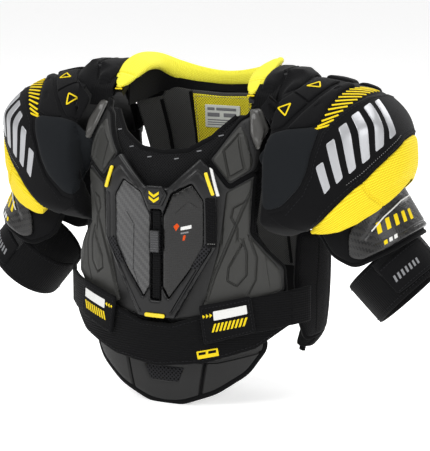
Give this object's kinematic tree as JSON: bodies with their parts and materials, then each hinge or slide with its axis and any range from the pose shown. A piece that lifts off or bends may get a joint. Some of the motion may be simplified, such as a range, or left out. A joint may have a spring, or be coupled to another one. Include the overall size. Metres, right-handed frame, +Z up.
{
  "type": "ice hockey shoulder pads",
  "caption": "Padded ice hockey shoulder protector with caps, biceps guards, arm cuffs, a segmented chest with sternum plates, a belly pad, a back pad and a collar roll.",
  "frame": {"origin": "middle of the neck opening, at the height where the yoke rests on the shoulders", "axes": "+Z up, -Y the way the chest faces, +X the wearer's left"},
  "size_m": [0.5477, 0.2032, 0.3687],
  "materials": {
    "softshell_black": "satin stretch softshell over foam",
    "liner_grey": "ribbed brushed mesh",
    "knit_yellow": "ribbed knitted mesh",
    "label_white": "woven satin tape",
    "label_yellow": "printed woven tape",
    "plastic_black": "satin moulded",
    "moulded_grey": "matt moulded foam with fine grain",
    "plastic_grey": "satin moulded",
    "mesh_black": "spacer mesh",
    "elastic_black": "ribbed woven elastic",
    "hook_black": "moulded tab backed with hooks",
    "webbing_black": "woven webbing",
    "composite_dark": "clear-coated woven composite",
    "composite_grey": "clear-coated woven composite",
    "accent_yellow": "smooth moulded",
    "vent_mesh": "open raised mesh"
  },
  "bodies": {
    "yoke": {"back_pad": "softshell_black", "back_liner": "liner_grey", "back_patch": "knit_yellow", "size_label": "label_white", "spine_guard_upper": "plastic_black", "spine_guard_lower": "plastic_black", "collar": "knit_yellow", "shoulder_arch_left": "moulded_grey", "shoulder_arch_right": "moulded_grey", "epaulette_left": "softshell_black", "epaulette_right": "softshell_black", "back_wing_left": "mesh_black", "back_wing_right": "mesh_black", "chest_hinge_cord_left": "webbing_black", "chest_hinge_cord_right": "webbing_black", "cap_hinge_cord_left": "webbing_black", "cap_hinge_cord_right": "webbing_black"},
    "chest": {"chest_liner": "mesh_black", "chest_upper_left": "moulded_grey", "chest_upper_right": "moulded_grey", "chest_lower_left": "moulded_grey", "chest_lower_right": "moulded_grey", "chest_band": "elastic_black", "band_tag": "label_yellow", "chest_hinge_loop_left": "webbing_black", "chest_hinge_loop_right": "webbing_black", "clavicle_guard_left": "plastic_grey", "clavicle_guard_right": "plastic_grey"},
    "sternum": {"sternum_frame": "plastic_black", "sternum_plate_left": "composite_dark", "sternum_plate_right": "composite_grey", "sternum_badge": "plastic_black", "sternum_strap": "webbing_black", "accent_bars": "accent_yellow", "pull_strap": "webbing_black", "strap_keeper": "label_white"},
    "slider": {"sternum_slider": "plastic_black"},
    "belly": {"belly_pad": "moulded_grey", "belly_vent": "vent_mesh"},
    "cap_left": {"shoulder_cap_left": "softshell_black", "cap_insert_left": "plastic_black", "cap_hinge_loop_left": "webbing_black", "biceps_pivots_left": "plastic_black"},
    "biceps_left": {"biceps_pad_left": "softshell_black", "biceps_shield_left": "composite_dark", "arm_cuff_left": "elastic_black"},
    "arm_strap_left": {"arm_strap_tab_left": "hook_black"},
    "waist_left": {"waist_strap_left": "elastic_black", "waist_tab_left": "hook_black"},
    "cap_right": {"shoulder_cap_right": "softshell_black", "cap_insert_right": "plastic_black", "cap_hinge_loop_right": "webbing_black", "biceps_pivots_right": "plastic_black"},
    "biceps_right": {"biceps_pad_right": "softshell_black", "biceps_shield_right": "composite_dark", "arm_cuff_right": "elastic_black"},
    "arm_strap_right": {"arm_strap_tab_right": "hook_black"},
    "waist_right": {"waist_strap_right": "elastic_black", "waist_tab_right": "hook_black"}
  },
  "joints": [
    {"name": "chest_lift", "type": "hinge", "parent": "yoke", "child": "chest", "pos_m": [0, -0.036, -0.003], "axis": [-1, 0, 0], "range_deg": [0, 60]},
    {"name": "sternum_float", "type": "slide", "parent": "chest", "child": "sternum", "axis": [0, -1, 0], "range_m": [0, 0.006], "stiffness_N_per_m": 200},
    {"name": "slider_travel", "type": "slide", "parent": "sternum", "child": "slider", "axis": [0, 0, 1], "range_m": [-0.01, 0.01]},
    {"name": "belly_slide", "type": "slide", "parent": "chest", "child": "belly", "axis": [0, 0, 1], "range_m": [-0.02, 0.003]},
    {"name": "cap_lift_left", "type": "hinge", "parent": "yoke", "child": "cap_left", "pos_m": [0.1125, 0, 0.022], "axis": [0, -1, 0], "range_deg": [0, 60]},
    {"name": "biceps_swing_left", "type": "hinge", "parent": "cap_left", "child": "biceps_left", "pos_m": [0.17621, 0.002, -0.11257], "axis": [0, -1, 0], "range_deg": [0, 14]},
    {"name": "arm_strap_open_left", "type": "hinge", "parent": "biceps_left", "child": "arm_strap_left", "pos_m": [0.23728, -0.04579, -0.18391], "axis": [0.7193, 0, -0.6947], "range_deg": [0, 100]},
    {"name": "waist_strap_open_left", "type": "hinge", "parent": "chest", "child": "waist_left", "pos_m": [0.1405, -0.036, -0.222], "axis": [0, 0, 1], "range_deg": [0, 90]},
    {"name": "cap_lift_right", "type": "hinge", "parent": "yoke", "child": "cap_right", "pos_m": [-0.1125, 0, 0.022], "axis": [0, 1, 0], "range_deg": [0, 60]},
    {"name": "biceps_swing_right", "type": "hinge", "parent": "cap_right", "child": "biceps_right", "pos_m": [-0.1618, 0.002, -0.11849], "axis": [0, 1, 0], "range_deg": [0, 14]},
    {"name": "arm_strap_open_right", "type": "hinge", "parent": "biceps_right", "child": "arm_strap_right", "pos_m": [-0.21507, -0.04579, -0.19583], "axis": [0.6428, 0, 0.766], "range_deg": [0, 100]},
    {"name": "waist_strap_open_right", "type": "hinge", "parent": "chest", "child": "waist_right", "pos_m": [-0.1405, -0.036, -0.222], "axis": [0, 0, -1], "range_deg": [0, 90]}
  ]
}
